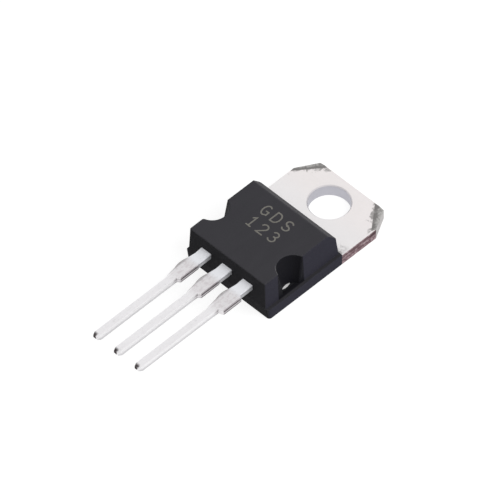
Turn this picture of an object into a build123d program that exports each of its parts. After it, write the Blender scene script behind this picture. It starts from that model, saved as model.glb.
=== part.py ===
from build123d import *
from math import radians, sin, tan
import os

# Three-lead power MOSFET in a moulded package with a bolt-down metal tab (TO-220 outline).
# Millimetres. The origin is where the axis of the mounting hole meets the back (heatsink) face.
# +X runs across the package from the gate lead to the source lead, +Y runs to the end of the tab,
# +Z runs from the back face to the front face. The leads point along -Y.

# ---- header: thick copper tab and die paddle, with the middle (drain) lead in one piece ----
header_thickness = 1.27
tab_width = 10.12
hole_diameter = 3.84
hole_to_tab_end = 2.80
hole_to_paddle_end = 11.43
paddle_width = 8.76
corner_cut_across = 1.15
corner_cut_along = 2.13
corner_coin_end_length = 1.05
corner_coin_side_length = 0.62
corner_coin_angle = 15.0
tab_edge_roll = 0.10
hole_edge_break = 0.10
lock_flange_width = 0.22
lock_flange_height = 0.50
lock_groove_width = 0.70
lock_groove_depth = 0.22
lock_groove_inset = 0.95

# ---- epoxy moulding ----
package_height = 4.40
hole_to_moulding = 3.55
hole_to_lead_face = 12.70
lower_width = 10.16
lower_draft = 1.0
lower_lead_face_draft = 7.5
lower_corner_radius = 0.30
parting_ledge = 0.32
side_draft = 2.6
lead_face_draft = 1.2
tab_face_setback = 0.06
tab_face_draft = 6.5
bevel_length = 0.98
bevel_height = 1.10
upper_corner_radius = 0.14
top_edge_break = 0.08

# ---- pin marks: tapered half-round notches in both sides, down to the header ----
notch_to_hole = 9.50
notch_axis_out = 4.97
notch_floor_radius = 0.97
notch_top_radius = 1.51
notch_mouth_radius = 0.22

# ---- leads ----
lead_pitch = 2.54
lead_thickness = 0.55
back_to_lead = 2.55
lead_tip_to_hole = 26.30
lead_root_width = 1.20
root_run = 0.12
neck_inset = 0.05
neck_to_face = 0.80
dam_bar_to_face = 1.60
dam_bar_rise = 0.12
dam_stub_reach = 0.66
end_stub_reach = 0.86
dam_stub_length = 2.18
dam_step_length = 0.18
burr_start_reach = 0.65
burr_reach = 0.78
burr_end_reach = 0.62
burr_length = 1.70
taper_end_reach = 0.50
taper_length = 0.90
taper_step_length = 0.40
lead_tip_width = 0.78
tip_taper_length = 0.35
tip_taper_depth = 0.14
lead_edge_roll = 0.05

# ---- parts of the leads inside the moulding ----
ramp_angle = 62.0
ramp_bend_radius = 0.42
ramp_start_inset = 0.20
ramp_overlap = 0.10
post_to_face = 0.40
post_length = 1.35
post_inner_gap = 0.55
post_width = 1.95
post_corner_cut = 0.25

# ---- die, its solder and the bond wires ----
solder_width = 3.40
solder_length = 3.00
solder_thickness = 0.06
die_margin = 0.10
die_thickness = 0.28
die_to_hole = 7.30
source_wire_diameter = 0.38
source_wire_spacing = 0.62
gate_wire_diameter = 0.20
wire_foot = 0.45
wire_flat = 0.04
wire_rise_angle = 52.0
wire_loop_height = 0.62
wire_bend_to_diameter = 1.2
wire_sides = 8
gate_bond_inset = 0.90
source_bond_ahead = 0.35
source_bond_aside = 0.70

# ---- sizes that follow from the ones above ----
hole_radius = hole_diameter / 2
moulding_y = -hole_to_moulding
lead_face_y = -hole_to_lead_face
paddle_end_y = -hole_to_paddle_end
lead_top = back_to_lead + lead_thickness
lead_mid = back_to_lead + lead_thickness / 2
drain_start_mid = header_thickness - lead_thickness / 2
post_end_y = lead_face_y + post_to_face
post_start_y = post_end_y + post_length
post_middle_y = (post_start_y + post_end_y) / 2
post_inner_x = lead_root_width / 2 + post_inner_gap
post_middle_x = post_inner_x + post_width / 2
die_bottom = header_thickness + solder_thickness
die_top = die_bottom + die_thickness
die_width = solder_width - 2 * die_margin
die_length = solder_length - 2 * die_margin


def name_part(shape, name, colour):
    shape.label = name
    shape.color = Color(*colour)
    return shape


def flat_plate(points, bottom, height):
    """A plate cut to an outline of straight edges, from one level upwards."""
    outline = make_face(Polyline(*points, close=True))
    return Pos(0, 0, bottom) * extrude(outline, height)


def block(x_range, y_range, z_range):
    size = [high - low for low, high in (x_range, y_range, z_range)]
    middle = [(high + low) / 2 for low, high in (x_range, y_range, z_range)]
    return Pos(*middle) * Box(*size)


# ---------------------------------------------------------------- header and drain lead
def header_outline():
    half = tab_width / 2
    inner = paddle_width / 2
    end = hole_to_tab_end
    return [
        (-half, moulding_y),
        (-half, end - corner_cut_along),
        (-half + corner_cut_across, end),
        (half - corner_cut_across, end),
        (half, end - corner_cut_along),
        (half, moulding_y),
        (inner, moulding_y),
        (inner, paddle_end_y),
        (-inner, paddle_end_y),
        (-inner, moulding_y),
    ]


def coined_corner(side):
    """The shallow slope struck into the upper face of a cut tab corner."""
    on_end = Vector(side * (tab_width / 2 - corner_cut_across - corner_coin_end_length), hole_to_tab_end)
    on_side = Vector(side * tab_width / 2, hole_to_tab_end - corner_cut_along - corner_coin_side_length)
    along = (on_side - on_end).normalized() * side
    outward = Vector(0, 0, 1).cross(along)
    start = (on_end + on_side) / 2 + Vector(0, 0, header_thickness)
    reach = corner_cut_across + corner_cut_along
    wedge = make_face(
        Plane(origin=start, x_dir=outward, z_dir=along)
        * Polyline(
            (0, 0),
            (reach, -reach * tan(radians(corner_coin_angle))),
            (reach, header_thickness),
            (0, header_thickness),
            close=True,
        )
    )
    return extrude(wedge, reach, both=True)


def tab_and_paddle():
    plate = flat_plate(header_outline(), 0, header_thickness)
    upper_tab_edges = [
        edge
        for edge in plate.edges().group_by(Axis.Z)[-1]
        if edge.center().Y > moulding_y + tab_edge_roll and edge.center().Y < hole_to_tab_end + 1
    ]
    straight = [e for e in upper_tab_edges if abs(e.tangent_at(0).X) < 0.01 or abs(e.tangent_at(0).Y) < 0.01]
    plate = chamfer(straight, tab_edge_roll)
    for side in (-1, 1):
        plate -= coined_corner(side)
    plate -= Pos(0, 0, header_thickness / 2) * Cylinder(hole_radius, header_thickness)
    front_rim = plate.edges().filter_by(GeomType.CIRCLE).sort_by(Axis.Z)[-1]
    plate = chamfer(front_rim, hole_edge_break)
    plate -= lock_steps()
    plate -= lock_groove()
    return plate


def lock_steps():
    """Rebates along the back of the paddle, where the moulding wraps under its edges."""
    inner = paddle_width / 2
    start = moulding_y - lock_groove_inset
    outside = block((-inner, inner), (paddle_end_y, start), (0, lock_flange_height))
    kept = block(
        (-inner + lock_flange_width, inner - lock_flange_width),
        (paddle_end_y + lock_flange_width, start),
        (0, lock_flange_height),
    )
    return outside - kept


def lock_groove():
    """A V groove across the front of the header, just inside the moulding."""
    middle = moulding_y - lock_groove_inset
    section = make_face(
        Plane.YZ
        * Polyline(
            (middle - lock_groove_width / 2, header_thickness),
            (middle, header_thickness - lock_groove_depth),
            (middle + lock_groove_width / 2, header_thickness),
            close=True,
        )
    )
    return extrude(section, paddle_width / 2, both=True)


def lead_face(middle, start_y, stub_reach):
    """Plan of one lead. The dam bar is sheared to a straight stub on the +X side of the lead and
    leaves a bulging burr on its -X side, and both sides then step in to the thin end."""
    root = lead_root_width / 2
    tip = lead_tip_width / 2
    dam_y = lead_face_y - dam_bar_to_face
    stub_end_y = dam_y - dam_stub_length
    burr_end_y = dam_y - burr_length
    taper_end_y = burr_end_y - taper_length
    plus_side = Polyline(
        (middle - root, start_y),
        (middle + root, start_y),
        (middle + root, dam_y + dam_bar_rise),
        (middle + stub_reach, dam_y),
        (middle + stub_reach, stub_end_y),
        (middle + tip, stub_end_y - dam_step_length),
        (middle + tip, -lead_tip_to_hole),
        (middle - tip, -lead_tip_to_hole),
        (middle - tip, taper_end_y - taper_step_length),
        (middle - taper_end_reach, taper_end_y),
        (middle - burr_end_reach, burr_end_y),
    )
    burr = ThreePointArc(
        (middle - burr_end_reach, burr_end_y),
        (middle - burr_reach, dam_y - burr_length / 2),
        (middle - burr_start_reach, dam_y),
    )
    neck = Polyline(
        (middle - burr_start_reach, dam_y),
        (middle - root + neck_inset, lead_face_y - neck_to_face),
        (middle - root, lead_face_y - root_run),
        (middle - root, start_y),
    )
    return make_face(plus_side + burr + neck)


def outer_lead(middle, start_y, stub_reach):
    """One lead outside the moulding: its upper edges rolled over by the stamping, and its cropped
    end tapered on all four sides so that it finds its hole in the board."""
    lead = Pos(0, 0, back_to_lead) * extrude(lead_face(middle, start_y, stub_reach), lead_thickness)
    end = lead.faces().sort_by(Axis.Y)[0]
    lead = chamfer(end.edges(), tip_taper_depth, tip_taper_length, reference=end)
    taper_start_y = tip_taper_length - lead_tip_to_hole
    upper_sides = [
        edge
        for edge in lead.edges().group_by(Axis.Z)[-1]
        if abs(edge.tangent_at(0.5).Y) > 0.1 and edge.center().Y > taper_start_y
    ]
    return chamfer(upper_sides, lead_edge_roll)


def drain_ramp():
    """Bent strip that climbs from the paddle to the level of the leads."""
    rise = lead_mid - drain_start_mid
    start_y = paddle_end_y + ramp_start_inset
    tangent = ramp_bend_radius * tan(radians(ramp_angle / 2))
    run = rise / tan(radians(ramp_angle))
    path = FilletPolyline(
        (0, start_y + 3 * tangent, drain_start_mid),
        (0, start_y, drain_start_mid),
        (0, start_y - run, lead_mid),
        (0, start_y - run - tangent - ramp_overlap, lead_mid),
        radius=ramp_bend_radius,
    )
    section = Plane(origin=path @ 0, x_dir=(1, 0, 0), z_dir=path % 0) * Rectangle(
        lead_root_width, lead_thickness
    )
    return sweep(section, path=path), start_y - run - tangent


def make_drain_header():
    ramp, ramp_end_y = drain_ramp()
    return tab_and_paddle() + ramp + outer_lead(0, ramp_end_y, dam_stub_reach)


# ---------------------------------------------------------------- gate and source leads
def make_side_lead(side):
    """A lead that ends in a wide bond post held only by the moulding."""
    stub_reach = end_stub_reach if side > 0 else dam_stub_reach
    lead = outer_lead(side * lead_pitch, post_end_y, stub_reach)
    x_range = sorted((side * post_inner_x, side * (post_inner_x + post_width)))
    post = block(x_range, (post_end_y, post_start_y), (back_to_lead, lead_top))
    outer_corner = post.edges().filter_by(Axis.Z).sort_by(Axis.Y)[-2:]
    post = chamfer(outer_corner, post_corner_cut)
    return lead + post


# ---------------------------------------------------------------- die and solder
def make_die_solder():
    middle = -die_to_hole
    return block(
        (-solder_width / 2, solder_width / 2),
        (middle - solder_length / 2, middle + solder_length / 2),
        (header_thickness, die_bottom),
    )


def make_die():
    middle = -die_to_hole
    return block(
        (-die_width / 2, die_width / 2),
        (middle - die_length / 2, middle + die_length / 2),
        (die_bottom, die_top),
    )


# ---------------------------------------------------------------- bond wires
def bond_wire(start, end, diameter):
    """A drawn wire in a vertical plane, with a flattened foot on the die and one on the post."""
    radius = diameter / 2
    low = Vector(start[0], start[1], die_top + radius - wire_flat)
    high = Vector(end[0], end[1], lead_top + radius - wire_flat)
    level = Vector(end[0] - start[0], end[1] - start[1], 0)
    span = level.length
    direction = level.normalized()
    peak = high.Z + wire_loop_height

    def at(distance, height):
        return Vector(low.X, low.Y, height) + direction * distance

    slope = tan(radians(wire_rise_angle))
    rise_end = wire_foot + (peak - low.Z) / slope
    fall_start = span - wire_foot - (peak - high.Z) / slope
    path = FilletPolyline(
        at(0, low.Z),
        at(wire_foot, low.Z),
        at(rise_end, peak),
        at(fall_start, peak),
        at(span - wire_foot, high.Z),
        at(span, high.Z),
        radius=wire_bend_to_diameter * diameter,
    )
    start_plane = Plane(origin=path @ 0, x_dir=Vector(0, 0, 1), z_dir=path % 0)
    section = start_plane * RegularPolygon(radius, wire_sides, major_radius=False)
    return sweep(section, path=path)


def make_source_wires(die, post):
    """Two thick wires side by side from the source pad to the middle of the source post."""
    wires = []
    for sign in (-1, 1):
        shift = sign * source_wire_spacing / 2
        start = (source_bond_aside + shift, -die_to_hole + source_bond_ahead)
        end = (post_middle_x + shift, post_middle_y - wire_foot / 2)
        wires.append(bond_wire(start, end, source_wire_diameter) - die - post)
    return wires


def make_gate_wire(die, post):
    """One thin wire from the gate pad in the die's corner to the middle of the gate post."""
    start = (-die_width / 2 + gate_bond_inset, -die_to_hole - die_length / 2 + gate_bond_inset)
    end = (-post_middle_x, post_middle_y - wire_foot / 2)
    return bond_wire(start, end, gate_wire_diameter) - die - post


# ---------------------------------------------------------------- moulding
def rectangle_at(half_width, back_y, front_y, level):
    middle = (back_y + front_y) / 2
    return Pos(0, middle, level) * Rectangle(2 * half_width, front_y - back_y)


def upright_edges(body):
    return [e for e in body.edges() if abs(e.tangent_at(0.5).Z) > 0.9]


def lower_block():
    """Mould half around the header: its walls lean in towards the back face."""
    side_lean = header_thickness * tan(radians(lower_draft))
    lead_lean = header_thickness * tan(radians(lower_lead_face_draft))
    half = lower_width / 2
    bottom = rectangle_at(half - side_lean, lead_face_y + lead_lean, moulding_y, 0)
    top = rectangle_at(half, lead_face_y, moulding_y, header_thickness)
    body = loft([bottom, top])
    lead_side = [e for e in upright_edges(body) if e.center().Y < moulding_y - lower_width / 2]
    return fillet(lead_side, lower_corner_radius)


def upper_block():
    """Mould half over the die: drafted walls, round corners, and a bevel above the tab."""
    height = package_height - header_thickness
    side_lean = height * tan(radians(side_draft))
    lead_lean = height * tan(radians(lead_face_draft))
    tab_lean = height * tan(radians(tab_face_draft))
    half = lower_width / 2 - parting_ledge
    front = moulding_y - tab_face_setback
    bottom = rectangle_at(half, lead_face_y, front, header_thickness)
    top = rectangle_at(half - side_lean, lead_face_y + lead_lean, front - tab_lean, package_height)
    body = loft([bottom, top])
    body = fillet(upright_edges(body), upper_corner_radius)
    bevel_foot = package_height - bevel_height
    foot_y = front - (bevel_foot - header_thickness) * tan(radians(tab_face_draft))
    section = make_face(
        Plane.YZ
        * Polyline(
            (foot_y, bevel_foot),
            (foot_y - 2 * bevel_length, bevel_foot + 2 * bevel_height),
            (foot_y + bevel_length, bevel_foot + 2 * bevel_height),
            (foot_y + bevel_length, bevel_foot),
            close=True,
        )
    )
    return body - extrude(section, lower_width, both=True)


def pin_notch(side):
    """Tapered round pin mark that leaves a patch of the header bare at its floor."""
    height = package_height - header_thickness
    base = Pos(side * notch_axis_out, -notch_to_hole, header_thickness)
    return base * Cone(
        notch_floor_radius, notch_top_radius, height, align=(Align.CENTER, Align.CENTER, Align.MIN)
    )


def notched_upper_block():
    body = upper_block()
    for side in (-1, 1):
        body -= pin_notch(side)
    mouths = [
        e
        for e in upright_edges(body)
        if abs(e.center().Y + notch_to_hole) < 1.05 * notch_top_radius
        and abs(e.center().X) > notch_axis_out - notch_top_radius
    ]
    body = fillet(mouths, notch_mouth_radius)
    rim = body.faces().sort_by(Axis.Z)[-1].edges()
    return chamfer(rim, top_edge_break)


def make_moulding(inner_pieces):
    body = lower_block() + notched_upper_block()
    for piece in inner_pieces:
        body -= piece
    return body


# ---------------------------------------------------------------- build and export
def build():
    header = make_drain_header()
    gate = make_side_lead(-1)
    source = make_side_lead(1)
    solder = make_die_solder()
    die = make_die()
    wires = make_source_wires(die, source)
    gate_wire = make_gate_wire(die, gate)
    moulding = make_moulding([header, gate, source, solder, die, *wires, gate_wire])
    copper = (0.78, 0.76, 0.74)
    return {
        "drain_header": (header, copper),
        "gate_lead": (gate, copper),
        "source_lead": (source, copper),
        "die_solder": (solder, (0.55, 0.56, 0.60)),
        "mosfet_die": (die, (0.25, 0.28, 0.36)),
        "source_wire_a": (wires[0], (0.85, 0.86, 0.88)),
        "source_wire_b": (wires[1], (0.85, 0.86, 0.88)),
        "gate_wire": (gate_wire, (0.85, 0.86, 0.88)),
        "moulding": (moulding, (0.07, 0.07, 0.08)),
    }


os.makedirs("parts", exist_ok=True)
for name, (shape, colour) in build().items():
    export_step(name_part(shape, name, colour), f"parts/{name}.step")
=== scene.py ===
import math

import bmesh
import bpy
from bpy.props import FloatProperty, FloatVectorProperty, PointerProperty, StringProperty
from mathutils import Matrix, Vector


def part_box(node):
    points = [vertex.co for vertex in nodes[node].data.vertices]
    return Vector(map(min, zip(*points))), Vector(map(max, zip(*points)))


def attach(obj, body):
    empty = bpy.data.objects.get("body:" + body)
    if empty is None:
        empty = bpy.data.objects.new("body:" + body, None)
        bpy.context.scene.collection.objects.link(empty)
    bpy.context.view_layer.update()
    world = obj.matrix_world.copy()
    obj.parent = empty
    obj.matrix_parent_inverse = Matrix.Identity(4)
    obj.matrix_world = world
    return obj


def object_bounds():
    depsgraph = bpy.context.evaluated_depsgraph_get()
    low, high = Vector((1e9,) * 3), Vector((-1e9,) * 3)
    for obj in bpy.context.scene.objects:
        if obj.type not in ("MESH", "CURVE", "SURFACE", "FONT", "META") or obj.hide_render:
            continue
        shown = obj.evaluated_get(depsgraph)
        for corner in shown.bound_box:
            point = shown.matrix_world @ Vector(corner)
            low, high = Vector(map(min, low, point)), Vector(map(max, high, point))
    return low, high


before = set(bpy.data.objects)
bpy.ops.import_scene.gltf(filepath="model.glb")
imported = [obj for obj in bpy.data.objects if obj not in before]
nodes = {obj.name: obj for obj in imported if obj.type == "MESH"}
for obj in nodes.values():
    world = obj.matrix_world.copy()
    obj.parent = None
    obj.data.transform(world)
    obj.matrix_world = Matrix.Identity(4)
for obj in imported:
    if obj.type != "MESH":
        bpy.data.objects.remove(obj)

cad_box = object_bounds()

bl_info = {
    "name": "Power MOSFET finishes",
    "version": (1, 0, 0),
    "blender": (4, 5, 0),
    "location": "3D View > Sidebar > Power MOSFET",
    "description": "Dresses a three-lead tab-mount power MOSFET and sets it on a studio table",
    "category": "Object",
}

MM = 0.001


# ---------------------------------------------------------------- sizes read from the frame
def node_box(name):
    """The low and the high corner of a piece's box, in mm."""
    low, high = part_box(name)
    return Vector(low) / MM, Vector(high) / MM


moulding_low, moulding_high = node_box("moulding")
header_high = node_box("drain_header")[1]
gate_low, gate_high = node_box("gate_lead")
die_low, die_high = node_box("mosfet_die")
TOP = moulding_high.z
MOULDING_Y = moulding_high.y
LEAD_FACE_Y = moulding_low.y
LEAD_TOP = gate_high.z
LEAD_FLOOR = gate_low.z
LEAD_TIP_Y = gate_low.y
TAB_HALF = header_high.x
TAB_END_Y = header_high.y

# ---------------------------------------------------------------- other sizes, in mm
TAB_THICK = 1.27
HOLE_RADIUS = 1.92
BEVEL_DROP = 1.10  # from the top of the moulding to the foot of its bevel
LEAD_PITCH = 2.54
THIN_HALF = 0.39  # half the width of a thin lead end
BURR_SHADE_REACH = 0.38  # from the middle of a lead to where the painted shade along its burr starts
ROOT_LENGTH = 1.60
STUB_LENGTH = 2.18
DAM_BAR_Y = LEAD_FACE_Y - ROOT_LENGTH
STUB_END_Y = DAM_BAR_Y - STUB_LENGTH
PAD_INSET = 0.10  # from the edge of the die to its pad

# The pin marks: where their tapered notches stand, and the painted pool of light on the bare metal
# at the floor of each.
NOTCH_AXIS_X = 4.97
NOTCH_Y = -9.50
NOTCH_RADIUS = 1.51
NOTCH_FLOOR_X = 4.80
PATCH_X = 4.00
PATCH_Y = -9.62
PATCH_REACH = 0.25
PATCH_HALF = 0.62

# On the tab: the stain in one corner by the moulding, the stretch over which the tin turns cleaner
# towards the moulding, and the scorched end of the sheared sides.
STAIN_X = 3.6
TAB_TIN_Y = 0.8
CLEAN_TIN_Y = -2.2
SCORCH_Y = TAB_END_Y - 3.1

# The struck corners: abs(x) * COIN_X + y * COIN_Y is COIN_EDGE on the crease and more beyond it.
COIN_X = 0.781
COIN_Y = 0.625
COIN_EDGE = 3.984

# How far the finishes ease sharp edges, and how deep their relief is.
EPOXY_EASE = 0.06
METAL_EASE = 0.05
EPOXY_RELIEF = 0.012
METAL_RELIEF = 0.004

# The laser marking and the stage.
SKIN = 0.003  # a letter's first stroke lies one of these above the moulding, its second two
HATCH_RATE = 88.0  # radians to a millimetre: one ploughed line every 0.036 mm
FLOOR_DROP = 0.01  # keeps the table clear of the back of the part
CAMERA_AIM = Vector((0.0, -8.0, 1.5))
CAMERA_SHIFT = Vector((-1.294, -0.036))  # to the right and up, as the camera sees it


# ---------------------------------------------------------------- what a user may change
class EpoxySettings(bpy.types.PropertyGroup):
    body: FloatVectorProperty(
        name="Compound", subtype="COLOR", size=3, min=0, max=1, default=(0.0440, 0.0430, 0.0484),
        description="Colour of the moulding compound",
    )
    # Painted sheen: a cooler, bluish reflection painted into the colour of the side faces.
    painted_side_sheen: FloatVectorProperty(
        name="Side sheen", subtype="COLOR", size=3, min=0, max=1, default=(0.0402, 0.0391, 0.0560),
        description="Cooler colour of the drawn sides of the moulding",
    )
    bloom: FloatVectorProperty(
        name="Bloom", subtype="COLOR", size=3, min=0, max=1, default=(0.075, 0.074, 0.078),
        description="Colour of the chalky bloom on edges and rubbed places",
    )
    # Painted highlight along the bevel above the tab.
    bevel_highlight: FloatVectorProperty(
        name="Chalk", subtype="COLOR", size=3, min=0, max=1, default=(0.135, 0.132, 0.138),
        description="Colour of the rubbed bevel above the tab",
    )
    # Near-black colour of the pin marks: painted shade of the recess over their smooth finish.
    pin_mark_shade: FloatVectorProperty(
        name="Pin mark", subtype="COLOR", size=3, min=0, max=1, default=(0.006, 0.006, 0.008),
        description="Colour of the smooth half-round pin marks",
    )
    grain: FloatProperty(
        name="Grain", description="Size of one grain of the spark-eroded mould texture",
        subtype="DISTANCE", unit="LENGTH", default=0.06 * MM,
    )


class MetalSettings(bpy.types.PropertyGroup):
    tin: FloatVectorProperty(
        name="Tin plate", subtype="COLOR", size=3, min=0, max=1, default=(0.842, 0.803, 0.800),
        description="Colour of the matte tin on the tab",
    )
    clean_tin: FloatVectorProperty(
        name="Clean tin", subtype="COLOR", size=3, min=0, max=1, default=(0.815, 0.805, 0.812),
        description="Colour of the tin beside the moulding",
    )
    lead_tin: FloatVectorProperty(
        name="Lead tin", subtype="COLOR", size=3, min=0, max=1, default=(0.815, 0.803, 0.818),
        description="Colour of the dipped tin on the thin ends of the leads",
    )
    pressed_tin: FloatVectorProperty(
        name="Pressed tin", subtype="COLOR", size=3, min=0, max=1, default=(0.745, 0.728, 0.742),
        description="Colour of the wide shoulders of the leads",
    )
    # Dull plating, also used for painted shade on the struck corners, the burrs and the band by the
    # moulding.
    dull_tin_and_shade: FloatVectorProperty(
        name="Dull tin", subtype="COLOR", size=3, min=0, max=1, default=(0.155, 0.15, 0.145),
        description="Colour of struck and bruised plating",
    )
    copper: FloatVectorProperty(
        name="Cut copper", subtype="COLOR", size=3, min=0, max=1, default=(0.28, 0.182, 0.20),
        description="Colour of the bare sheared copper of the tab",
    )
    dark_copper: FloatVectorProperty(
        name="Dark copper", subtype="COLOR", size=3, min=0, max=1, default=(0.085, 0.045, 0.052),
        description="Colour of oxidised streaks in the sheared copper",
    )
    # Resin flash and painted shadow: the near-black colour round the lit patch in each pin mark.
    flash_and_shadow: FloatVectorProperty(
        name="Resin flash", subtype="COLOR", size=3, min=0, max=1, default=(0.006, 0.006, 0.008),
        description="Colour of the thin resin round the bare patch in each pin mark",
    )
    # Torn metal colour, also used for the painted shade on the lead tips.
    torn: FloatVectorProperty(
        name="Torn metal", subtype="COLOR", size=3, min=0, max=1, default=(0.05, 0.038, 0.04),
        description="Colour of the dark torn lines and spots on cropped leads",
    )
    pale_copper: FloatVectorProperty(
        name="Pale copper", subtype="COLOR", size=3, min=0, max=1, default=(0.52, 0.435, 0.455),
        description="Colour of copper smeared with tin by the shear",
    )
    # Lighter colour of the struck corners, which are partly struck metal and partly painted shade.
    shaded_struck_tin: FloatVectorProperty(
        name="Struck tin", subtype="COLOR", size=3, min=0, max=1, default=(0.51, 0.505, 0.49),
        description="Colour of the bright streaks in the struck corners",
    )
    # Painted highlight along the edges of the thin lead ends.
    edge_highlight_tin: FloatVectorProperty(
        name="Burnished tin", subtype="COLOR", size=3, min=0, max=1, default=(0.93, 0.93, 0.935),
        description="Colour of the bright edges of the thin lead ends",
    )
    # Sheared metal and painted shade on the lower half of the lead sides.
    sheared_and_shaded_tin: FloatVectorProperty(
        name="Sheared tin", subtype="COLOR", size=3, min=0, max=1, default=(0.44, 0.44, 0.45),
        description="Colour of the lower half of the lead sides",
    )
    rosy_tin: FloatVectorProperty(
        name="Rosy tin", subtype="COLOR", size=3, min=0, max=1, default=(0.56, 0.51, 0.525),
        description="Colour where copper shows through the pressed plating",
    )
    root_tin: FloatVectorProperty(
        name="Root tin", subtype="COLOR", size=3, min=0, max=1, default=(0.93, 0.94, 0.98),
        description="Colour of the clean roots of the leads, beside the moulding",
    )
    cropped_tin: FloatVectorProperty(
        name="Cropped tin", subtype="COLOR", size=3, min=0, max=1, default=(0.36, 0.325, 0.345),
        description="Colour of the sheared sides of the dam-bar remains",
    )
    shaded_tin: FloatVectorProperty(
        name="Shaded tin", subtype="COLOR", size=3, min=0, max=1, default=(0.22, 0.23, 0.25),
        description="Colour of the lead sides close to the moulding",
    )
    # Painted shade: the wall and the rim of the mounting hole are darker than the open tin.
    shaded_bore_tin: FloatVectorProperty(
        name="Bore tin", subtype="COLOR", size=3, min=0, max=1, default=(0.50, 0.495, 0.54),
        description="Colour of the wall and the rim of the mounting hole",
    )
    # Painted pool of light on the bare metal in the pin marks.
    lit_bare_patch: FloatVectorProperty(
        name="Bare patch", subtype="COLOR", size=3, min=0, max=1, default=(0.93, 0.92, 0.92),
        description="Colour of the plating left bare in the pin marks",
    )
    tin_grain: FloatProperty(
        name="Plating grain", description="Size of one crystal of the plating",
        subtype="DISTANCE", unit="LENGTH", default=0.05 * MM,
    )


class ChipSettings(bpy.types.PropertyGroup):
    solder: FloatVectorProperty(
        name="Solder", subtype="COLOR", size=3, min=0, max=1, default=(0.42, 0.43, 0.46),
        description="Colour of the soft solder under the die",
    )
    bright_solder: FloatVectorProperty(
        name="Bright solder", subtype="COLOR", size=3, min=0, max=1, default=(0.60, 0.60, 0.62),
        description="Colour of the smooth places on the solder",
    )
    silicon: FloatVectorProperty(
        name="Silicon", subtype="COLOR", size=3, min=0, max=1, default=(0.06, 0.065, 0.08),
        description="Colour of the passivated silicon",
    )
    pad: FloatVectorProperty(
        name="Pad", subtype="COLOR", size=3, min=0, max=1, default=(0.80, 0.80, 0.82),
        description="Colour of the aluminium pads on the die",
    )
    wire: FloatVectorProperty(
        name="Wire", subtype="COLOR", size=3, min=0, max=1, default=(0.82, 0.82, 0.84),
        description="Colour of the aluminium bond wires",
    )


class MarkSettings(bpy.types.PropertyGroup):
    pin_names: StringProperty(
        name="Pin names", default="GDS",
        description="Letters burnt above the three leads, from gate to source",
    )
    pin_numbers: StringProperty(
        name="Pin numbers", default="123",
        description="Numbers burnt under the pin names",
    )
    letter_height: FloatProperty(
        name="Letter height", description="Height of the burnt letters",
        subtype="DISTANCE", unit="LENGTH", default=1.15 * MM,
    )
    stroke: FloatProperty(
        name="Stroke", description="Width of one burnt line",
        subtype="DISTANCE", unit="LENGTH", default=0.145 * MM,
    )
    spacing: FloatProperty(
        name="Spacing", description="Distance between the middles of neighbouring letters",
        subtype="DISTANCE", unit="LENGTH", default=1.30 * MM,
    )
    first_row: FloatProperty(
        name="First row", description="Distance from the hole's axis to the foot of the first row",
        subtype="DISTANCE", unit="LENGTH", default=7.05 * MM,
    )
    row_pitch: FloatProperty(
        name="Row pitch", description="Distance from one row to the next",
        subtype="DISTANCE", unit="LENGTH", default=1.75 * MM,
    )
    colour: FloatVectorProperty(
        name="Burn colour", subtype="COLOR", size=3, min=0, max=1, default=(0.215, 0.206, 0.186),
        description="Colour of the bleached compound",
    )


class StageSettings(bpy.types.PropertyGroup):
    floor_size: FloatProperty(
        name="Floor", description="Side of the square table top",
        subtype="DISTANCE", unit="LENGTH", default=4.0,
    )
    floor_colour: FloatVectorProperty(
        name="Floor colour", subtype="COLOR", size=3, min=0, max=1, default=(0.31, 0.31, 0.31),
        description="Colour of the table top",
    )
    azimuth: FloatProperty(
        name="Azimuth", description="Direction of the camera round the part",
        subtype="ANGLE", unit="ROTATION", default=math.radians(45.06),
    )
    elevation: FloatProperty(
        name="Elevation", description="Height of the camera above the table",
        subtype="ANGLE", unit="ROTATION", default=math.radians(49.2),
    )
    roll: FloatProperty(
        name="Roll", description="Turn of the camera about its own axis",
        subtype="ANGLE", unit="ROTATION", default=math.radians(-0.24),
    )
    view_width: FloatProperty(
        name="View width", description="Width of the picture at the middle of the part",
        subtype="DISTANCE", unit="LENGTH", default=43.58 * MM,
    )
    distance: FloatProperty(
        name="Distance", description="From the camera to the part",
        subtype="DISTANCE", unit="LENGTH", default=1.8,
    )
    soft_box: FloatProperty(
        name="Soft box", description="Power of the soft box beside the tab",
        unit="POWER", default=0.98,
    )
    soft_box_side: FloatProperty(
        name="Soft box side", description="Side of the square soft box",
        subtype="DISTANCE", unit="LENGTH", default=0.30,
    )
    fill: FloatProperty(
        name="Fill", description="Power of the weak light overhead",
        unit="POWER", default=0.82,
    )
    fill_side: FloatProperty(
        name="Fill side", description="Side of the square light overhead",
        subtype="DISTANCE", unit="LENGTH", default=0.44,
    )
    room_light: FloatProperty(
        name="Room light", description="Strength with which the white room lights the part",
        default=0.24,
    )
    floor_glow: FloatProperty(
        name="Floor glow", description="Whitens the table top where it is seen or mirrored",
        default=0.80,
    )


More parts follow.
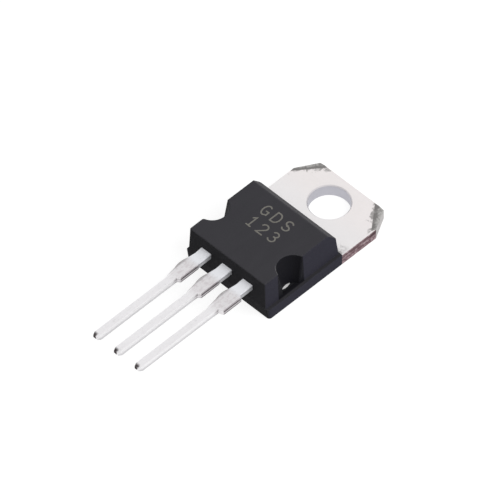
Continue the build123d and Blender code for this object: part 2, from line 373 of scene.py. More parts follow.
# ---------------------------------------------------------------- shader maths
class Link:
    """An output socket that takes part in Python expressions. Each operation adds a Math node."""

    def __init__(self, maker, socket):
        self.maker = maker
        self.socket = socket

    def math(self, operation, *values, clamp=False):
        """One Math node, fed by the values given."""
        settings = {"operation": operation, "use_clamp": clamp}
        node = self.maker.add("ShaderNodeMath", settings, dict(enumerate(values)))
        return Link(self.maker, node.outputs[0])

    def __add__(self, other):
        return self.math("ADD", self, other)

    def __sub__(self, other):
        return self.math("SUBTRACT", self, other)

    def __rsub__(self, other):
        return self.math("SUBTRACT", other, self)

    def __mul__(self, other):
        return self.math("MULTIPLY", self, other)

    def __truediv__(self, other):
        return self.math("DIVIDE", self, other)

    def __rtruediv__(self, other):
        return self.math("DIVIDE", other, self)

    def __pow__(self, other):
        return self.math("POWER", self, other)

    def __abs__(self):
        return self.math("ABSOLUTE", self)

    __radd__ = __add__
    __rmul__ = __mul__

    def high(self, other):
        """The greater of the two."""
        return self.math("MAXIMUM", self, other)

    def clamp(self):
        """The value kept between 0 and 1."""
        return self.math("ADD", self, 0.0, clamp=True)

    def step(self, start, end):
        """0 up to start, 1 from end, and a smooth rise between; start may lie above end."""
        node = self.maker.add(
            "ShaderNodeMapRange",
            {"interpolation_type": "SMOOTHSTEP"},
            {"Value": self, "From Min": start, "From Max": end},
        )
        return Link(self.maker, node.outputs["Result"])

    def band(self, middle, half, soft):
        """1 where the value lies within half of the middle, with soft sides."""
        return abs(self - middle).step(half + soft, half)


class Maker:
    """Adds nodes to the emptied tree of a material or a world."""

    def __init__(self, owner):
        owner.use_nodes = True
        self.tree = owner.node_tree
        self.tree.nodes.clear()

    def add(self, kind, settings=None, values=None):
        """Adds one node: its settings first, then the value or the link of each socket."""
        node = self.tree.nodes.new(kind)
        for key, value in (settings or {}).items():
            setattr(node, key, value)
        for key, value in (values or {}).items():
            self.feed(node.inputs[key], value)
        return node

    def feed(self, socket, value):
        """Links a socket to what feeds it, or sets its own value."""
        if isinstance(value, Link):
            self.tree.links.new(value.socket, socket)
        elif isinstance(value, bpy.types.NodeSocket):
            self.tree.links.new(value, socket)
        elif socket.type == "RGBA":
            socket.default_value = (*value, 1.0)
        else:
            socket.default_value = value

    def seen(self):
        """1 for rays from the camera, mirrors and glass, and 0 for those that only gather light."""
        path = self.add("ShaderNodeLightPath").outputs
        rays = Link(self, path["Is Camera Ray"]).high(path["Is Glossy Ray"])
        return rays.high(path["Is Transmission Ray"])


class Finish(Maker):
    """A material under construction: one surface shader and what feeds it."""

    def __init__(self, name):
        self.material = bpy.data.materials.new(name)
        super().__init__(self.material)
        self.surface = self.add("ShaderNodeBsdfPrincipled")
        self.add("ShaderNodeOutputMaterial", {}, {"Surface": self.surface.outputs["BSDF"]})
        place = self.add("ShaderNodeTexCoord").outputs["Object"]
        self.mm = self.tint(place, 1 / MM)
        split = self.add("ShaderNodeSeparateXYZ", {}, {0: self.mm})
        self.x, self.y, self.z = (Link(self, socket) for socket in split.outputs)
        self.normal = self.add("ShaderNodeNewGeometry").outputs["Normal"]
        facing = self.add("ShaderNodeSeparateXYZ", {}, {0: self.normal})
        self.nx, self.ny, self.nz = (Link(self, socket) for socket in facing.outputs)

    def noise(self, size_mm, detail=3.0, rough=0.6, stretch=(1, 1, 1), shift=0.0, warp=0.0):
        """Noise of about 0 to 1: lumps about size_mm across, drawn out by stretch on each axis."""
        placed = self.add(
            "ShaderNodeMapping",
            {},
            {
                "Vector": self.mm,
                "Scale": tuple(1 / s for s in stretch),
                "Location": (shift, shift * 0.7, -shift),
            },
        )
        node = self.add(
            "ShaderNodeTexNoise",
            {},
            {
                "Vector": placed.outputs["Vector"],
                "Scale": 1.0 / size_mm,
                "Detail": detail,
                "Roughness": rough,
                "Distortion": warp,
            },
        )
        return Link(self, node.outputs[0])

    def specks(self, size_mm):
        """Distance from the middle of the nearest grain: 0 there, and more towards its rim."""
        node = self.add("ShaderNodeTexVoronoi", {}, {"Vector": self.mm, "Scale": 1.0 / size_mm})
        return Link(self, node.outputs["Distance"])

    def blend(self, first, second, mask):
        """A colour between two colours."""
        values = {0: mask, 6: first, 7: second}
        node = self.add("ShaderNodeMix", {"data_type": "RGBA", "clamp_factor": True}, values)
        return node.outputs[2]

    def tint(self, colour, amount):
        """A colour or a vector scaled by a value."""
        values = {0: colour, "Scale": amount}
        return self.add("ShaderNodeVectorMath", {"operation": "SCALE"}, values).outputs["Vector"]

    def bump(self, height, depth_mm, base=None):
        """The normal of a surface whose relief is height times depth_mm."""
        values = {"Height": height, "Distance": depth_mm * MM, "Strength": 1.0}
        if base is not None:
            values["Normal"] = base
        return self.add("ShaderNodeBump", {}, values).outputs["Normal"]

    def rounded(self, radius_mm):
        """The normal of the same surface with its sharp edges eased."""
        node = self.add("ShaderNodeBevel", {"samples": 6}, {"Radius": radius_mm * MM})
        return node.outputs["Normal"]

    def edges(self, rounded):
        """1 on a sharp edge, 0 on the open face."""
        values = {0: rounded, 1: self.normal}
        node = self.add("ShaderNodeVectorMath", {"operation": "DOT_PRODUCT"}, values)
        return (1.0 - Link(self, node.outputs["Value"])).clamp()

    def finish(self, **sockets):
        """Feeds the surface shader, where _ stands for a space, and gives the material."""
        for key, value in sockets.items():
            self.feed(self.surface.inputs[key.replace("_", " ")], value)
        return self.material


def dress(name, material):
    """Gives a piece of the frame its finish."""
    slots = nodes[name].material_slots
    if not slots:
        nodes[name].data.materials.append(material)
    for slot in slots:
        slot.material = material


# ---------------------------------------------------------------- finishes
def epoxy_finish(s):
    """Spark-eroded black epoxy: fine grain, flow clouds, pale worn edges, smooth pin marks."""
    f = Finish("moulded_epoxy")
    grain_mm = s.grain / MM
    grain = f.noise(grain_mm, detail=2.0)
    pits = f.specks(grain_mm * 2.2)
    cloud = f.noise(2.6, detail=4.0, warp=0.6)
    flow = f.noise(1.1, rough=0.5, stretch=(0.6, 3.0, 1.0), shift=4.0)
    rub = f.noise(0.35, shift=9.0)
    slanted = (f.nz * f.nz * 4.0 * (1.0 - f.nz * f.nz)).clamp() * f.ny.step(0.3, 0.5)
    bevel = slanted * f.z.step(TOP - BEVEL_DROP - 0.5, TOP - BEVEL_DROP + 0.5)
    notch_x = abs(f.x) - NOTCH_AXIS_X
    notch_y = f.y - NOTCH_Y
    reach = (notch_x * notch_x + notch_y * notch_y) ** 0.5
    mark_wall = f.nz.step(0.5, 0.35)
    at_parting = f.z.step(TAB_THICK + 0.18, TAB_THICK + 0.08)
    mark_floor = at_parting * abs(f.x).step(NOTCH_FLOOR_X + 0.08, NOTCH_FLOOR_X - 0.04)
    in_mark = reach.step(NOTCH_RADIUS + 0.15, NOTCH_RADIUS + 0.01) * mark_wall.high(mark_floor)
    in_mark = in_mark * f.z.step(TAB_THICK - 0.05, TAB_THICK - 0.01)
    # Painted shade: the face where the leads come out is darkened by its direction alone.
    shaded_lead_face = f.ny.step(-0.85, -0.95)
    soft = f.rounded(EPOXY_EASE)
    rim = f.edges(soft).step(0.02, 0.25)
    worn = (rim * rub.step(0.38, 0.62)).clamp()
    shade = 0.86 + 0.16 * cloud + 0.14 * flow + 0.16 * grain
    # The side faces get the painted bluish sheen, chosen by their direction.
    side = abs(f.nx).step(0.6, 0.9)
    colour = f.blend(s.body, s.painted_side_sheen, side * 0.8)
    colour = f.tint(colour, shade * (1.0 - 0.54 * shaded_lead_face))
    # Painted shade on the parting ledge, the step under the upper block.
    shaded_ledge = at_parting * f.nz.step(0.6, 0.9)
    colour = f.tint(colour, 1.0 - 0.22 * shaded_ledge)
    # Painted highlight on the bevel that faces up and towards the tab, mottled by the rub noise.
    colour = f.blend(colour, s.bevel_highlight, bevel * (0.42 + 0.30 * rub))
    colour = f.blend(colour, s.bloom, worn * 0.35)
    colour = f.blend(colour, s.bloom, pits.step(0.24, 0.10) * 0.10)
    # The pin marks are painted near black as shade of the recess; their smoother finish is in the
    # roughness.
    colour = f.blend(colour, s.pin_mark_shade, in_mark * 0.92)
    rough = 0.66 + 0.10 * cloud - 0.10 * rub * rim + 0.08 * grain - in_mark * 0.16
    relief = grain * (1.0 - 0.8 * in_mark) + flow * 0.35 + pits * 0.25
    return f.finish(
        Base_Color=colour,
        Roughness=rough,
        Specular_IOR_Level=0.07,
        Normal=f.bump(relief, EPOXY_RELIEF, soft),
    )


def plate_layers(f, s):
    """What all the plated copper shares: crystal grain, smears and small scratches."""
    grain = f.noise(s.tin_grain / MM, detail=2.0)
    cloud = f.noise(1.8, detail=4.0, shift=3.0, warp=0.5)
    fine = f.noise(0.30, shift=6.0)
    return grain, cloud, fine


def cut_copper(f, s):
    """Sheared copper: a pale smeared lip on top, two dark torn lines broken into short lengths,
    pale pitted metal between them, and a scorched end. Gives its colour and its streaks."""
    streak = f.noise(0.20, detail=4.0, rough=0.65, stretch=(1.0, 5.0, 1.0), shift=2.0)
    patch = f.noise(0.75, stretch=(1.0, 1.8, 1.0), shift=7.0)
    pitted = f.noise(0.17, rough=0.65, stretch=(1.0, 1.8, 1.0), shift=12.0)
    gap = f.noise(0.45, detail=2.0, rough=0.5, stretch=(1.0, 2.2, 1.0), shift=17.0)
    level = f.z / TAB_THICK + (patch - 0.5) * 0.22
    upper_tear = level.band(0.66, 0.05, 0.13) * gap.step(0.36, 0.50)
    lower_tear = level.band(0.30, 0.04, 0.11) * gap.step(0.58, 0.46)
    lip = level.step(0.84, 0.98)
    scorched = f.y.step(SCORCH_Y, SCORCH_Y + 0.7)
    scorched = scorched * (level + 0.4 * (patch - 0.5)).step(0.25, 0.55)
    colour = f.blend(s.copper, s.dark_copper, pitted.step(0.50, 0.64) * 0.55)
    colour = f.blend(colour, s.pale_copper, pitted.step(0.50, 0.38) * 0.70 + lip * 0.75)
    tear = upper_tear * 0.80 + lower_tear * 0.70 + scorched * 0.65 * (1.0 - lip)
    colour = f.blend(colour, s.dark_copper, tear.clamp())
    return colour, streak


def lead_layers(f, s, across, cloud, fine):
    """Colour, bareness, relief and root of one lead, whose middle is where across is 0: bright thin
    end, duller pressed shoulder, cool root, sides darker towards the bottom from sheared metal and
    painted shade, painted highlights on the edges, and painted shade on the burr and the tips."""
    drag = f.noise(0.09, stretch=(1.0, 16.0, 1.0), shift=5.0)
    shear = f.noise(0.07, stretch=(1.0, 12.0, 1.0), shift=8.0)
    mottle = f.noise(0.24, stretch=(1.0, 1.8, 1.0), shift=11.0)
    shoulder = f.y.step(STUB_END_Y - 0.9, STUB_END_Y + 0.3)
    root = f.y.step(DAM_BAR_Y - 0.45, DAM_BAR_Y + 0.30)
    side = abs(f.nx).step(0.45, 0.75)
    level = (f.z - LEAD_FLOOR) / (LEAD_TOP - LEAD_FLOOR)
    stub = side * shoulder * (1.0 - root)
    burr_shade = across.step(-BURR_SHADE_REACH, -BURR_SHADE_REACH - 0.24) * shoulder * (1.0 - root) * (1.0 - side)
    # Painted shade: the left half of each cropped tip and its taper, coloured with the torn metal.
    tip = f.ny.step(-0.80, -0.95) * f.y.step(LEAD_TIP_Y + 0.10, LEAD_TIP_Y + 0.05)
    taper = f.y.step(LEAD_TIP_Y + 0.45, LEAD_TIP_Y + 0.15)
    burnt = (tip + taper * (1.0 - side)) * (across + 0.4 * (mottle - 0.5)).step(0.14, -0.06)
    colour = f.blend(s.lead_tin, s.pressed_tin, shoulder)
    colour = f.blend(colour, s.root_tin, root * 0.95)
    colour = f.tint(colour, 0.85 + 0.10 * cloud + 0.11 * drag + 0.10 * mottle)
    spots = fine.step(0.58, 0.72) * 0.12 + mottle.step(0.60, 0.75) * 0.10
    colour = f.blend(colour, s.dull_tin_and_shade, spots)
    colour = f.blend(colour, s.rosy_tin, shoulder * (1.0 - root) * mottle.step(0.46, 0.60) * 0.45)
    # Painted shade along the burr side of the shoulder, mottled.
    colour = f.blend(colour, s.dull_tin_and_shade, burr_shade * (0.25 + 0.45 * mottle))
    cut_line = level.band(0.66, 0.08, 0.12) * shear.step(0.22, 0.42)
    edge_line = level.band(0.08, 0.07, 0.10) * shear.step(0.25, 0.45)
    burnished = level.band(0.37, 0.07, 0.12)
    # Painted highlight along the edges of the thin lead ends and the tops of their sides.
    edge = abs(across).step(THIN_HALF - 0.13, THIN_HALF - 0.03) * (1.0 - side)
    edge = (edge + side * level.step(0.80, 0.95)) * (1.0 - shoulder)
    colour = f.blend(colour, s.edge_highlight_tin, edge * (0.45 + 0.35 * drag))
    # The lower half of the lead sides is darker: sheared metal and painted shade.
    low_side = side * (1.0 - stub) * (level + 0.3 * (mottle - 0.5)).step(0.72, 0.30)
    colour = f.blend(colour, s.sheared_and_shaded_tin, low_side * (0.35 + 0.35 * shear))
    colour = f.blend(colour, s.cropped_tin, stub * (0.65 + 0.35 * shear))
    colour = f.blend(colour, s.pressed_tin, stub * burnished * 0.5)
    colour = f.blend(colour, s.shaded_tin, side * f.y.step(LEAD_FACE_Y - 1.0, LEAD_FACE_Y) * 0.5)
    cut = stub * (cut_line * 0.9 + edge_line * 0.75) + side * root * cut_line * 0.4
    colour = f.blend(colour, s.torn, cut.clamp())
    # Painted shade on the tips, in the torn colour.
    colour = f.blend(colour, s.torn, (burnt * (0.80 + 0.30 * fine)).clamp())
    bare = (stub * 0.6 + burnt).clamp()
    relief = drag * 0.7 * (1.0 - bare) + shear * 1.6 * side + mottle * 0.6
    return colour, bare, relief, root


def header_finish(s):
    """Matte tin over rolled copper, bare and dark on the sheared sides of the tab."""
    f = Finish("plated_header")
    grain, cloud, fine = plate_layers(f, s)
    rolled = f.noise(0.10, stretch=(14.0, 1.0, 1.0), shift=1.0)
    bruise = f.noise(0.42, detail=5.0, rough=0.70, stretch=(1.6, 1.0, 1.0), shift=14.0, warp=1.2)
    copper, streak = cut_copper(f, s)
    soft = f.rounded(METAL_EASE)
    on_tab = f.y.step(LEAD_FACE_Y, LEAD_FACE_Y + 0.5)
    side_cut = abs(f.nx).step(0.90, 0.97) * on_tab * abs(f.x).step(TAB_HALF - 0.15, TAB_HALF - 0.05)
    corner_cut = (abs(f.nx) * f.ny.clamp()).step(0.25, 0.36) * on_tab
    # The struck corner facets: partly struck metal, partly painted shade of the tilted facets.
    coined_and_shaded = f.nz.step(0.985, 0.975) * f.nz.step(0.80, 0.90) * f.z.step(0.9, 1.0)
    from_coin = abs(f.x) * COIN_X + f.y * COIN_Y - COIN_EDGE
    smudge = f.noise(0.50, detail=2.0, rough=0.5, shift=21.0, warp=0.8)
    on_top = f.z.step(TAB_THICK - 0.07, TAB_THICK - 0.02)
    # Painted shade: the grey smear round each struck facet.
    coin_edge_shade = (from_coin + (smudge - 0.5) * 1.8).step(-0.30, 0.10) * f.nz.step(0.97, 0.985) * on_top
    crease = (from_coin + (smudge - 0.5) * 0.5).step(0.62, 0.12)
    radius = (f.x * f.x + f.y * f.y) ** 0.5
    # Painted shade on the wall and the rim of the mounting hole.
    shaded_bore = radius.step(HOLE_RADIUS + 0.07, HOLE_RADIUS + 0.03) * abs(f.nz).step(0.5, 0.3)
    shaded_bore_rim = radius.step(HOLE_RADIUS + 0.20, HOLE_RADIUS + 0.14) * f.nz.step(0.92, 0.85)
    above_moulding = f.y - MOULDING_Y
    # A darker band along the foot of the moulding is painted contact shadow; the patch in one
    # corner is a real stain.
    stain_and_shadow = above_moulding.step(0.45, 0.0) * (0.15 + 0.5 * fine)
    near_edge = above_moulding.step(1.25, 0.35) * f.x.step(STAIN_X, STAIN_X + 0.9)
    stain_and_shadow = stain_and_shadow + near_edge * bruise.step(0.35, 0.65) * 0.9
    stain_and_shadow = stain_and_shadow * f.nz.step(0.5, 0.9) * above_moulding.step(-0.05, 0.0)
    patch_x = (abs(f.x) - PATCH_X) / PATCH_REACH
    patch_y = (f.y - PATCH_Y) / PATCH_HALF
    from_patch = patch_x * patch_x + patch_y * patch_y + (fine - 0.5) * 0.5
    # The bare metal in each pin mark: a painted pool of light in the patch, and round it resin
    # flash and painted shadow from the walls.
    in_notch = on_top * f.y.band(NOTCH_Y, 1.8, 0.2)
    lit_bare_patch = in_notch * from_patch.step(1.15, 0.85)
    flash_and_shadow = in_notch * from_patch.step(0.85, 1.15)
    plate = f.blend(s.tin, s.clean_tin, f.y.step(TAB_TIN_Y, CLEAN_TIN_Y) * 0.7)
    plate = f.tint(plate, 0.935 + 0.07 * cloud + 0.05 * fine)
    plate = f.blend(plate, s.dull_tin_and_shade, stain_and_shadow * 0.60 + rolled.step(0.60, 0.75) * 0.05)
    # Dents and streaks, with painted shade by the crease and on the left corner.
    dent = (bruise * 0.6 + streak * 0.4).step(0.44, 0.58)
    dented_and_shaded = (dent * 0.60 + crease * 0.70 + f.x.step(0.0, -1.0) * 0.25).clamp()
    struck_and_shaded = f.blend(s.shaded_struck_tin, s.dull_tin_and_shade, dented_and_shaded)
    plate = f.blend(plate, struck_and_shaded, (coin_edge_shade * 0.7 + coined_and_shaded * 0.9).clamp())
    plate = f.blend(plate, s.dull_tin_and_shade, corner_cut * (0.18 + 0.40 * streak + 0.42 * smudge))
    plate = f.blend(plate, s.shaded_bore_tin, shaded_bore * 0.85 + shaded_bore_rim * 0.35)
    plate = f.blend(plate, s.lit_bare_patch, lit_bare_patch)
    colour = f.blend(plate, copper, side_cut)
    lead_colour, lead_bare, lead_relief, root = lead_layers(f, s, f.x, cloud, fine)
    lead = f.y.step(LEAD_FACE_Y + 0.3, LEAD_FACE_Y + 0.1)
    colour = f.blend(colour, lead_colour, lead)
    colour = f.blend(colour, s.flash_and_shadow, flash_and_shadow)
    bare = (side_cut + lead_bare * lead).clamp()
    rough = 0.32 + 0.12 * cloud + 0.10 * fine + 0.16 * bare + 0.10 * coined_and_shaded
    tab_relief = rolled * 0.7 * (1.0 - bare) + streak * 3.0 * side_cut + bruise * 2.5 * coined_and_shaded
    relief = grain * 0.5 + fine * 0.5 + tab_relief * (1.0 - lead) + lead_relief * lead
    return f.finish(
        Base_Color=colour,
        Metallic=1.0 - 0.80 * root * lead - 0.7 * lit_bare_patch - flash_and_shadow,
        Roughness=rough + 0.28 * root * lead + 0.3 * in_notch,
        Normal=f.bump(relief, METAL_RELIEF, soft),
    )


def lead_finish(s):
    """Matte tin dragged along the lead, bare where the dam bar and the tip were sheared."""
    f = Finish("plated_lead")
    grain, cloud, fine = plate_layers(f, s)
    across = f.x - f.x.math("SIGN", f.x) * LEAD_PITCH
    colour, bare, lead_relief, root = lead_layers(f, s, across, cloud, fine)
    return f.finish(
        Base_Color=colour,
        Metallic=1.0 - 0.80 * root,
        Roughness=0.32 + 0.12 * cloud + 0.10 * fine + 0.16 * bare + 0.28 * root,
        Normal=f.bump(grain * 0.5 + fine * 0.5 + lead_relief, METAL_RELIEF, f.rounded(METAL_EASE)),
    )


def solder_finish(s):
    """Soft solder with smooth and dull places."""
    f = Finish("soft_solder")
    lump = f.noise(0.4, detail=4.0)
    return f.finish(
        Base_Color=f.blend(s.solder, s.bright_solder, lump.step(0.35, 0.65)),
        Metallic=1.0,
        Roughness=0.34 + 0.2 * lump,
        Normal=f.bump(lump, 0.02),
    )


def die_finish(s):
    """An aluminium pad within a border of dark silicon."""
    f = Finish("silicon_die")
    cell = f.noise(0.03, detail=1.0, rough=0.5, stretch=(1.0, 6.0, 1.0))
    middle = (die_low + die_high) / 2
    pad_half = (die_high - die_low) / 2 - Vector((PAD_INSET, PAD_INSET, 0.0))
    off_x = abs(f.x - middle.x).step(pad_half.x, pad_half.x - 0.06)
    off_y = abs(f.y - middle.y).step(pad_half.y, pad_half.y - 0.06)
    pad = off_x * off_y * f.nz.step(0.5, 0.9)
    return f.finish(
        Base_Color=f.blend(s.silicon, f.tint(s.pad, 0.85 + 0.2 * cell), pad),
        Metallic=pad * 0.9,
        Roughness=0.22 + 0.2 * cell,
        Normal=f.bump(cell, 0.002),
    )


def wire_finish(s):
    """Drawn aluminium wire."""
    f = Finish("aluminium_wire")
    drawn = f.noise(0.05, detail=2.0, rough=0.5, stretch=(1.0, 5.0, 1.0))
    return f.finish(
        Base_Color=f.tint(s.wire, 0.88 + 0.16 * drawn),
        Metallic=1.0,
        Roughness=0.26 + 0.2 * drawn,
        Normal=f.bump(drawn, 0.004),
    )


def burn_finish(s):
    """Compound bleached by a laser: pale, patchy, and ploughed in fine lines."""
    f = Finish("laser_burn")
    hatch = abs(f.y.math("SINE", f.y * HATCH_RATE))
    patch = f.noise(0.22)
    colour = f.tint(s.colour, 0.45 + 0.45 * patch + 0.30 * hatch)
    return f.finish(
        Base_Color=colour,
        Roughness=0.80 - 0.08 * hatch,
        Specular_IOR_Level=0.3,
        Normal=f.bump(hatch + patch, 0.006),
    )


# ---------------------------------------------------------------- laser marking
def arc(cx, cy, rx, ry, start, end, steps=9):
    """Points along an ellipse, in letter units, from one angle to another in degrees."""
    angles = [math.radians(start + (end - start) * i / steps) for i in range(steps + 1)]
    return [(cx + rx * math.cos(a), cy + ry * math.sin(a)) for a in angles]


# Each letter is a list of strokes in a box 0.62 wide and 1 high, with its foot on the line.
LETTERS = {
    "G": [arc(0.31, 0.5, 0.31, 0.5, 55, 305) + [(0.60, 0.12), (0.60, 0.45), (0.36, 0.45)]],
    "D": [[(0.0, 0.0), (0.0, 1.0)] + arc(0.26, 0.5, 0.34, 0.5, 90, -90) + [(0.0, 0.0)]],
    "S": [arc(0.31, 0.75, 0.28, 0.25, 35, 270) + arc(0.31, 0.25, 0.30, 0.25, 90, -150)],
    "1": [[(0.12, 0.80), (0.34, 1.0), (0.34, 0.0)], [(0.14, 0.0), (0.54, 0.0)]],
    "2": [arc(0.31, 0.72, 0.29, 0.28, 165, -35) + [(0.02, 0.0), (0.62, 0.0)]],
    "3": [arc(0.30, 0.76, 0.27, 0.24, 150, -90), arc(0.30, 0.27, 0.31, 0.27, 90, -150)],
}
LETTER_MIDDLE = 0.31
MITRE_LIMIT = 0.45  # keeps the mitre of a sharp bend short
END_STEPS = 6  # straight pieces in the half circle that ends a stroke


def offset_line(corners, half, closed):
    """The two sides of a ribbon along a line of corners, mitred at each bend."""
    ways = [(b - a).normalized() for a, b in zip(corners, corners[1:])]
    left, right = [], []
    for i, corner in enumerate(corners):
        before = ways[i - 1] if i or closed else ways[0]
        after = ways[i] if i < len(ways) else (ways[0] if closed else ways[-1])
        middle = (before + after).normalized()
        across = Vector((-middle.y, middle.x))
        spread = half / max(MITRE_LIMIT, across.dot(Vector((-after.y, after.x))))
        left.append(corner + across * spread)
        right.append(corner - across * spread)
    return left, right, ways


def round_end(centre, way, half):
    """Points of a half circle beyond the end of a ribbon, between its two corners."""
    side = Vector((-way.y, way.x))
    angles = (math.pi * k / END_STEPS for k in range(1, END_STEPS))
    return [centre + way * half * math.sin(a) + side * half * math.cos(a) for a in angles]


def add_stroke(mesh, points, half, level):
    """A flat ribbon with round ends, or a closed one where the line ends where it starts."""
    corners = [Vector(p) for p in points]
    closed = (corners[0] - corners[-1]).length < half * 0.01
    left, right, ways = offset_line(corners, half, closed)
    sides = zip(left, right)
    rows = [[mesh.verts.new((p.x, p.y, level)) for p in pair] for pair in sides]
    for (a, b), (c, d) in zip(rows, rows[1:]):
        mesh.faces.new((b, d, c, a))
    if closed:
        return
    ends = ((rows[0][::-1], corners[0], -ways[0]), (rows[-1], corners[-1], ways[-1]))
    for (a, b), centre, way in ends:
        rim = round_end(centre, way, half)
        mesh.faces.new([b] + [mesh.verts.new((p.x, p.y, level)) for p in reversed(rim)] + [a])


def burn_word(name, word, foot_y, s, material):
    """One row of letters, centred on the moulding's top, as a skin a few microns proud."""
    height = s.letter_height
    mesh = bmesh.new()
    for i, letter in enumerate(word):
        start = (i - (len(word) - 1) / 2) * s.spacing - LETTER_MIDDLE * height
        for order, stroke in enumerate(LETTERS[letter]):
            points = [(start + u * height, foot_y + v * height) for u, v in stroke]
            add_stroke(mesh, points, s.stroke / 2, (TOP + SKIN + order * SKIN) * MM)
    data = bpy.data.meshes.new(name)
    mesh.to_mesh(data)
    mesh.free()
    piece = bpy.data.objects.new(name, data)
    bpy.context.scene.collection.objects.link(piece)
    data.materials.append(material)
    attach(piece, "root")


# ---------------------------------------------------------------- operators
class MOSFET_OT_moulding(bpy.types.Operator):
    """Give the moulding its spark-eroded epoxy finish"""

    bl_idname = "mosfet.moulding"
    bl_label = "Finish moulding"

    def execute(self, context):
        dress("moulding", epoxy_finish(context.scene.mosfet_epoxy))
        return {"FINISHED"}


class MOSFET_OT_header(bpy.types.Operator):
    """Give the tab, die paddle and drain lead their plating and bare cut sides"""

    bl_idname = "mosfet.header"
    bl_label = "Finish tab and drain lead"

    def execute(self, context):
        dress("drain_header", header_finish(context.scene.mosfet_metal))
        return {"FINISHED"}


class MOSFET_OT_leads(bpy.types.Operator):
    """Give the gate and source leads their plating"""

    bl_idname = "mosfet.leads"
    bl_label = "Finish gate and source leads"

    def execute(self, context):
        material = lead_finish(context.scene.mosfet_metal)
        for name in ("gate_lead", "source_lead"):
            dress(name, material)
        return {"FINISHED"}


class MOSFET_OT_chip(bpy.types.Operator):
    """Finish what the moulding encloses: solder, die and bond wires"""

    bl_idname = "mosfet.chip"
    bl_label = "Finish die and wires"

    def execute(self, context):
        s = context.scene.mosfet_chip
        dress("die_solder", solder_finish(s))
        dress("mosfet_die", die_finish(s))
        wire = wire_finish(s)
        for name in ("source_wire_a", "source_wire_b", "gate_wire"):
            dress(name, wire)
        return {"FINISHED"}


class MOSFET_OT_marks(bpy.types.Operator):
    """Burn the pin names and numbers into the top of the moulding"""

    bl_idname = "mosfet.marks"
    bl_label = "Burn pin marks"

    def execute(self, context):
        s = context.scene.mosfet_marks
        material = burn_finish(s)
        words = (("pin_names", s.pin_names), ("pin_numbers", s.pin_numbers))
        for row, (name, word) in enumerate(words):
            burn_word(name, word, -s.first_row - row * s.row_pitch, s, material)
        return {"FINISHED"}


def area_light(name, place, aim, side, power):
    """A square lamp at a place, turned to what it lights."""
    data = bpy.data.lights.new(name, "AREA")
    data.shape = "SQUARE"
    data.size = side
    data.energy = power
    lamp = bpy.data.objects.new(name, data)
    bpy.context.scene.collection.objects.link(lamp)
    lamp.location = place
    lamp.rotation_euler = (aim - place).to_track_quat("-Z", "Y").to_euler()
    lamp.visible_glossy = False  # the plating mirrors the even white room instead of the bare lamp


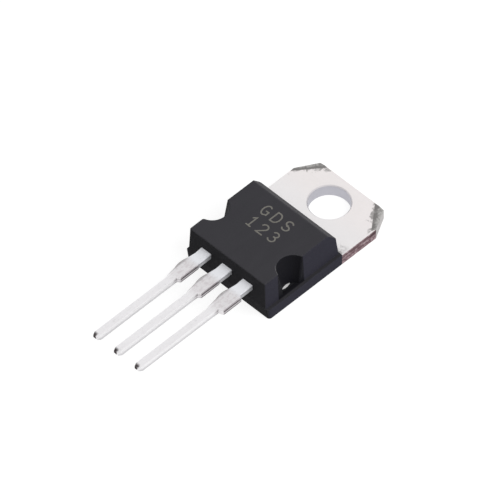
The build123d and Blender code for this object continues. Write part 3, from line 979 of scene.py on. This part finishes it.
class MOSFET_OT_stage(bpy.types.Operator):
    """Set the table, the lights, the backdrop and the camera"""

    bl_idname = "mosfet.stage"
    bl_label = "Set the stage"

    def execute(self, context):
        s = context.scene.mosfet_stage
        self.lay_floor(s)
        self.light(context.scene, s)
        self.place_camera(context.scene, s)
        context.scene.view_settings.view_transform = "Standard"
        return {"FINISHED"}

    def lay_floor(self, s):
        """A wide matte table top, just under the back of the part."""
        mesh = bmesh.new()
        bmesh.ops.create_grid(mesh, x_segments=8, y_segments=8, size=s.floor_size / 2)
        data = bpy.data.meshes.new("table_top")
        mesh.to_mesh(data)
        mesh.free()
        floor = bpy.data.objects.new("table_top", data)
        floor.location.z = -FLOOR_DROP * MM
        bpy.context.scene.collection.objects.link(floor)
        f = Finish("matte_table")
        paper = f.noise(0.4)
        glow = [s.floor_glow] * 3
        table = f.finish(
            Base_Color=f.tint(s.floor_colour, 0.99 + 0.02 * paper),
            Roughness=0.9,
            Specular_IOR_Level=0.1,
            Emission_Color=f.blend((0.0, 0.0, 0.0), glow, f.seen()),
            Emission_Strength=1.0,
            Normal=f.bump(paper, 0.002),
        )
        data.materials.append(table)

    def light(self, scene, s):
        """Two soft lamps in a white room that shows brighter than it lights."""
        middle = (cad_box[0] + cad_box[1]) / 2
        beside_tab = middle + Vector((0.29, 0.05, 0.31))
        overhead = middle + Vector((0.02, -0.06, 0.45))
        area_light("soft_box", beside_tab, middle, s.soft_box_side, s.soft_box)
        area_light("fill", overhead, middle, s.fill_side, s.fill)
        scene.world = bpy.data.worlds.new("studio")
        room = Maker(scene.world)
        white = (1.0, 1.0, 1.0)
        lit = room.add("ShaderNodeBackground", {}, {"Color": white, "Strength": s.room_light})
        shown = room.add("ShaderNodeBackground", {}, {"Color": white, "Strength": 1.0})
        values = {"Fac": room.seen(), 1: lit.outputs[0], 2: shown.outputs[0]}
        mix = room.add("ShaderNodeMixShader", {}, values)
        room.add("ShaderNodeOutputWorld", {}, {"Surface": mix.outputs[0]})

    def place_camera(self, scene, s):
        """A long lens that looks from the azimuth and the elevation, rolled a little."""
        a, e = s.azimuth, s.elevation
        forward = Vector((-math.sin(a) * math.cos(e), math.cos(a) * math.cos(e), -math.sin(e)))
        right = Vector((math.cos(a), math.sin(a), 0.0))
        up = right.cross(forward)
        rolled_right = right * math.cos(s.roll) + up * math.sin(s.roll)
        rolled_up = up * math.cos(s.roll) - right * math.sin(s.roll)
        shift = rolled_right * CAMERA_SHIFT.x + rolled_up * CAMERA_SHIFT.y
        aim = (CAMERA_AIM + shift) * MM
        data = bpy.data.cameras.new("camera")
        data.sensor_width = 36.0
        data.lens = data.sensor_width * s.distance / s.view_width
        data.clip_start = 0.01
        data.clip_end = 20.0
        camera = bpy.data.objects.new("camera", data)
        scene.collection.objects.link(camera)
        camera.rotation_mode = "QUATERNION"
        turn = Matrix((rolled_right, rolled_up, -forward)).transposed()
        camera.rotation_quaternion = turn.to_quaternion()
        camera.location = aim - forward * s.distance
        scene.camera = camera


class MOSFET_PT_panel(bpy.types.Panel):
    """Lists the pieces of the part and the stage"""

    bl_label = "Power MOSFET"
    bl_idname = "MOSFET_PT_panel"
    bl_space_type = "VIEW_3D"
    bl_region_type = "UI"
    bl_category = "Power MOSFET"

    def draw(self, context):
        scene = context.scene
        for settings, operators in (
            (scene.mosfet_epoxy, (MOSFET_OT_moulding,)),
            (scene.mosfet_metal, (MOSFET_OT_header, MOSFET_OT_leads)),
            (scene.mosfet_chip, (MOSFET_OT_chip,)),
            (scene.mosfet_marks, (MOSFET_OT_marks,)),
            (scene.mosfet_stage, (MOSFET_OT_stage,)),
        ):
            box = self.layout.box()
            for key in settings.bl_rna.properties.keys():
                if key not in ("rna_type", "name"):
                    box.prop(settings, key)
            for operator in operators:
                box.operator(operator.bl_idname)


CLASSES = (
    EpoxySettings,
    MetalSettings,
    ChipSettings,
    MarkSettings,
    StageSettings,
    MOSFET_OT_moulding,
    MOSFET_OT_header,
    MOSFET_OT_leads,
    MOSFET_OT_chip,
    MOSFET_OT_marks,
    MOSFET_OT_stage,
    MOSFET_PT_panel,
)
SETTINGS = {
    "mosfet_epoxy": EpoxySettings,
    "mosfet_metal": MetalSettings,
    "mosfet_chip": ChipSettings,
    "mosfet_marks": MarkSettings,
    "mosfet_stage": StageSettings,
}


def register():
    for cls in CLASSES:
        bpy.utils.register_class(cls)
    for name, cls in SETTINGS.items():
        setattr(bpy.types.Scene, name, PointerProperty(type=cls))


def unregister():
    for name in SETTINGS:
        delattr(bpy.types.Scene, name)
    for cls in reversed(CLASSES):
        bpy.utils.unregister_class(cls)


def main():
    register()
    bpy.ops.mosfet.moulding()
    bpy.ops.mosfet.header()
    bpy.ops.mosfet.leads()
    bpy.ops.mosfet.chip()
    bpy.ops.mosfet.marks()
    bpy.ops.mosfet.stage()


if __name__ == "__main__":
    main()
